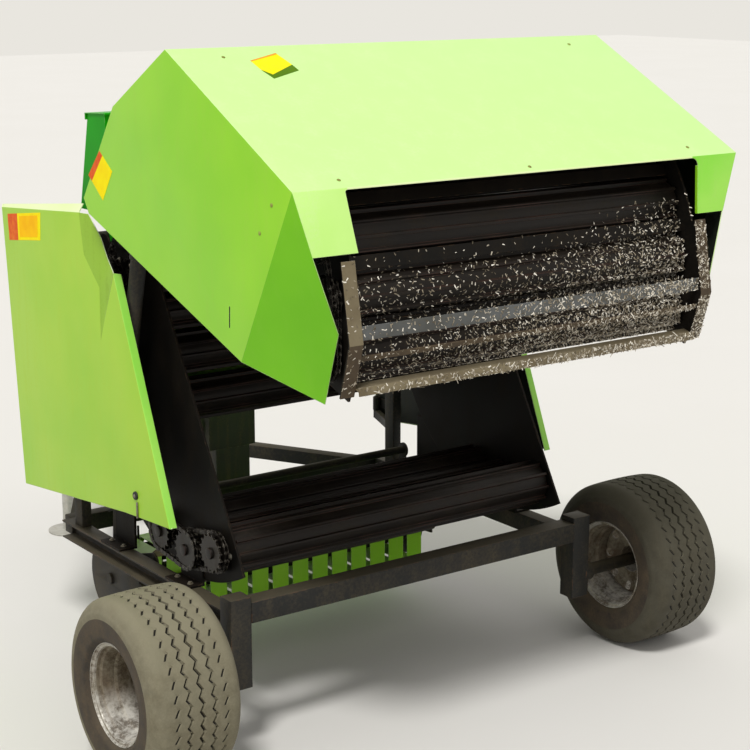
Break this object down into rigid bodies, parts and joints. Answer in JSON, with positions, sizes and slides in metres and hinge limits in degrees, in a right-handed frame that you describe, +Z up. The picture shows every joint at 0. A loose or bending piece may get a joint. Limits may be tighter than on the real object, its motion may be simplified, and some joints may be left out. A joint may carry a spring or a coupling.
{
  "type": "round baler",
  "caption": "Towed fixed-chamber round baler with ribbed rollers, raised tailgate, tined pickup, side guards, drawbar and parking jack.",
  "frame": {"origin": "on the floor, under the middle of the machine's length and width as it stands with its tailgate part raised", "axes": "+X to the right, +Y forward towards the hitch, +Z up"},
  "size_m": [2.48, 3.5578, 2.354],
  "materials": {
    "lime_paint": "gloss",
    "green_paint": "gloss",
    "black_paint": "satin",
    "bare_steel": "worn",
    "tyre_rubber": "matte",
    "rim_paint": "satin"
  },
  "bodies": {
    "chassis": {"axle_beam": "black_paint", "wheel_legs": "black_paint", "frame_rails": "black_paint", "front_cross": "black_paint", "drawbar_left": "black_paint", "drawbar_right": "black_paint", "drawbar_head": "black_paint", "jack_sleeve": "black_paint", "side_plate_left": "black_paint", "side_plate_right": "black_paint", "front_rollers": "black_paint", "front_shield": "lime_paint", "feed_floor": "black_paint", "gearbox": "black_paint", "cross_shaft": "black_paint", "front_sprockets": "bare_steel", "front_chains": "bare_steel", "main_drive": "bare_steel", "main_chain": "bare_steel", "top_tube": "black_paint", "twine_box": "green_paint", "guard_posts": "black_paint"},
    "jack": {"jack_leg": "bare_steel"},
    "lid": {"twine_lid": "green_paint"},
    "guard_door_left": {"guard_left": "lime_paint"},
    "guard_door_right": {"guard_right": "lime_paint"},
    "tailgate": {"tail_hood": "lime_paint", "tail_plate_left": "black_paint", "tail_plate_right": "black_paint", "tail_rollers": "black_paint", "tail_sprockets": "bare_steel", "tail_chains": "bare_steel", "tail_rail": "black_paint"},
    "ram_barrel_left": {"barrel_left": "black_paint"},
    "ram_barrel_right": {"barrel_right": "black_paint"},
    "ram_rod_left": {"rod_left": "bare_steel"},
    "ram_rod_right": {"rod_right": "bare_steel"},
    "pickup": {"pickup_frame": "black_paint", "pickup_bands": "lime_paint", "wind_guard": "black_paint"},
    "reel": {"pickup_reel": "bare_steel"},
    "wheel_left": {"tyre_left": "tyre_rubber", "rim_left": "rim_paint"},
    "wheel_right": {"tyre_right": "tyre_rubber", "rim_right": "rim_paint"}
  },
  "joints": [
    {"name": "wheel_left_spin", "type": "hinge", "parent": "chassis", "child": "wheel_left", "pos_m": [-1.075, -1.12107, 0.32], "axis": [1, 0, 0], "continuous": true},
    {"name": "wheel_right_spin", "type": "hinge", "parent": "chassis", "child": "wheel_right", "pos_m": [1.075, -1.12107, 0.32], "axis": [1, 0, 0], "continuous": true},
    {"name": "tailgate_lift", "type": "hinge", "parent": "chassis", "child": "tailgate", "pos_m": [0, -0.40899, 1.80324], "axis": [-1, 0, 0], "range_deg": [-40.5, 28]},
    {"name": "ram_left_swing", "type": "hinge", "parent": "chassis", "child": "ram_barrel_left", "pos_m": [-0.793, -0.40107, 0.92], "axis": [1, 0, 0], "range_deg": [-3.37, 4.87]},
    {"name": "ram_left_stroke", "type": "slide", "parent": "ram_barrel_left", "child": "ram_rod_left", "axis": [0, -0.2405, 0.9707], "range_m": [-0.15552, 0.10752]},
    {"name": "ram_right_swing", "type": "hinge", "parent": "chassis", "child": "ram_barrel_right", "pos_m": [0.793, -0.40107, 0.92], "axis": [1, 0, 0], "range_deg": [-3.37, 4.87]},
    {"name": "ram_right_stroke", "type": "slide", "parent": "ram_barrel_right", "child": "ram_rod_right", "axis": [0, -0.2405, 0.9707], "range_m": [-0.15552, 0.10752]},
    {"name": "pickup_lift", "type": "hinge", "parent": "chassis", "child": "pickup", "pos_m": [0, -0.42107, 0.462], "axis": [1, 0, 0], "range_deg": [0, 14]},
    {"name": "reel_spin", "type": "hinge", "parent": "pickup", "child": "reel", "pos_m": [0, -0.08107, 0.3], "axis": [1, 0, 0], "continuous": true},
    {"name": "jack_slide", "type": "slide", "parent": "chassis", "child": "jack", "axis": [0, 0, 1], "range_m": [0, 0.32]},
    {"name": "guard_left_swing", "type": "hinge", "parent": "chassis", "child": "guard_door_left", "pos_m": [-0.835, 0.28893, 1.16], "axis": [0, 0, -1], "range_deg": [0, 100]},
    {"name": "guard_right_swing", "type": "hinge", "parent": "chassis", "child": "guard_door_right", "pos_m": [0.835, 0.28893, 1.16], "axis": [0, 0, 1], "range_deg": [0, 100]},
    {"name": "lid_lift", "type": "hinge", "parent": "chassis", "child": "lid", "pos_m": [0, -0.22207, 2.09061], "axis": [1, 0, 0], "range_deg": [0, 75]}
  ],
  "couplings": [
    {"joint": "ram_left_swing", "follows": "tailgate_lift", "ratio": -0.11783},
    {"joint": "ram_left_stroke", "follows": "tailgate_lift", "m_per_rad": 0.21783},
    {"joint": "ram_right_swing", "follows": "tailgate_lift", "ratio": -0.11783},
    {"joint": "ram_right_stroke", "follows": "tailgate_lift", "m_per_rad": 0.21783}
  ]
}
